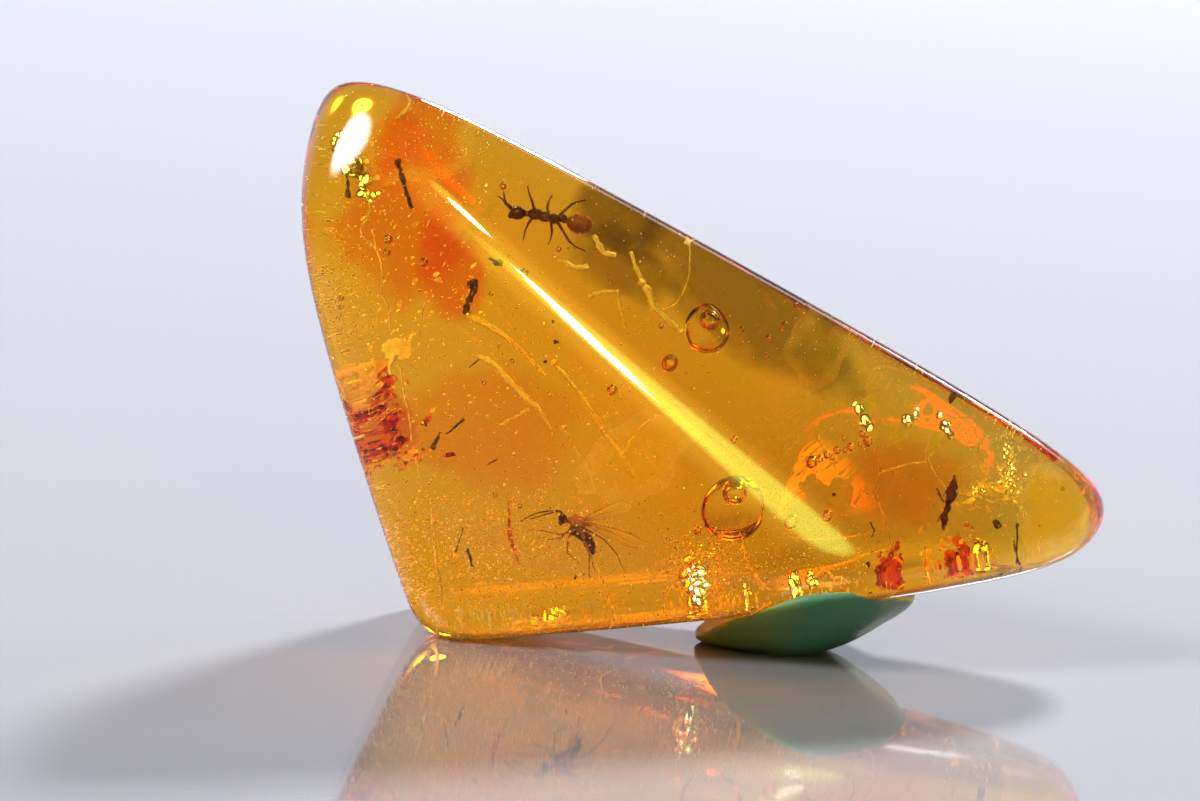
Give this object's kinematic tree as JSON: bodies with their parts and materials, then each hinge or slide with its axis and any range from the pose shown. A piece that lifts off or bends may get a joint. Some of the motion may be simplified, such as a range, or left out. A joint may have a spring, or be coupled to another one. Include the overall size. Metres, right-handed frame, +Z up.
{
  "type": "insect in amber",
  "caption": "Polished three-sided amber pebble stood on its long edge on a putty pad, with a gnat, an ant and plant debris sealed inside",
  "frame": {"origin": "middle of the bounding box in plan, at the height of the table that the putty pad lies on", "axes": "+X along the amber towards its thin tip, +Y to the back, +Z up"},
  "size_m": [0.0307, 0.0112, 0.0202],
  "materials": {
    "amber": "polished, clear honey yellow to orange",
    "gnat": "brown chitin",
    "ant": "dark brown chitin",
    "bark": "dark rotten bark",
    "husk": "dry pale plant skin",
    "putty": "matt kneaded putty"
  },
  "bodies": {
    "root": {"amber_front": "amber", "amber_back": "amber", "gnat": "gnat", "ant": "ant", "bark_splinter": "bark", "seed_husk": "husk", "putty_pad": "putty"}
  },
  "joints": []
}
